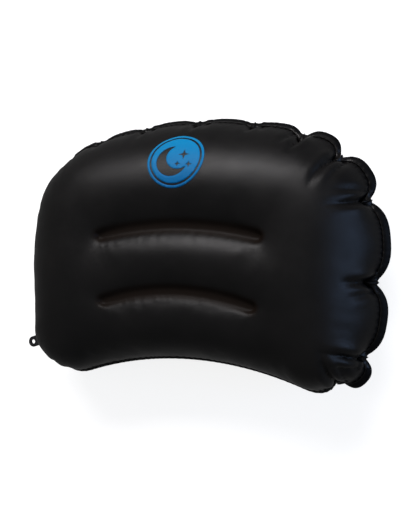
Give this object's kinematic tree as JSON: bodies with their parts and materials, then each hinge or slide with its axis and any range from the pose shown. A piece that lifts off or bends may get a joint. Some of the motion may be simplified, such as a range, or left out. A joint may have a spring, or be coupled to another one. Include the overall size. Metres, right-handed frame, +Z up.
{
  "type": "inflatable camp pillow",
  "caption": "Kidney-shaped inflatable camp pillow with two curved slots, a perimeter weld flange, a loop tab and a two-stage air valve with strapped stoppers.",
  "frame": {"origin": "on the floor, under the middle of the pillow's length and width, on its mirror plane", "axes": "+X along the pillow's length, +Y towards the convex crown edge, +Z up out of the front face"},
  "size_m": [0.3983, 0.2846, 0.1128],
  "materials": {
    "coated_cloth": "fine black woven cloth with an air-tight coating, soft satin sheen",
    "back_cloth": "the same black coated cloth, a little more matte",
    "web_cloth": "coated cloth, matte, inside the air chamber",
    "tab_film": "glossy flexible film",
    "print_film": "blue heat-transfer print, brighter at the top",
    "valve_film": "soft moulded elastomer, satin",
    "seat_plastic": "moulded hard plastic",
    "silicone": "translucent grey silicone"
  },
  "bodies": {
    "pillow": {"front_panel": "coated_cloth", "back_panel": "back_cloth", "upper_baffle": "web_cloth", "lower_baffle": "web_cloth", "corner_tab": "tab_film", "front_emblem": "print_film", "valve_base": "valve_film", "valve_backing_ring": "web_cloth", "plug_strap_root": "valve_film"},
    "plug": {"deflate_plug": "valve_film", "valve_seat": "seat_plastic", "plug_strap_end": "valve_film", "cap_strap_root": "valve_film"},
    "cap": {"inflate_cap": "valve_film", "cap_strap_end": "valve_film"},
    "diaphragm": {"check_diaphragm": "silicone"}
  },
  "joints": [
    {"name": "plug_hinge", "type": "hinge", "parent": "pillow", "child": "plug", "pos_m": [-0.19181, 0.00224, 0.02521], "axis": [0.4695, 0, -0.8829], "range_deg": [0, 120]},
    {"name": "cap_hinge", "type": "hinge", "parent": "plug", "child": "cap", "pos_m": [-0.19327, -0.02717, 0.02443], "axis": [-0.4695, 0, 0.8829], "range_deg": [0, 120]},
    {"name": "diaphragm_slide", "type": "slide", "parent": "plug", "child": "diaphragm", "axis": [0.8829, 0, 0.4695], "range_m": [0, 0.0015], "stiffness_N_per_m": 40}
  ]
}
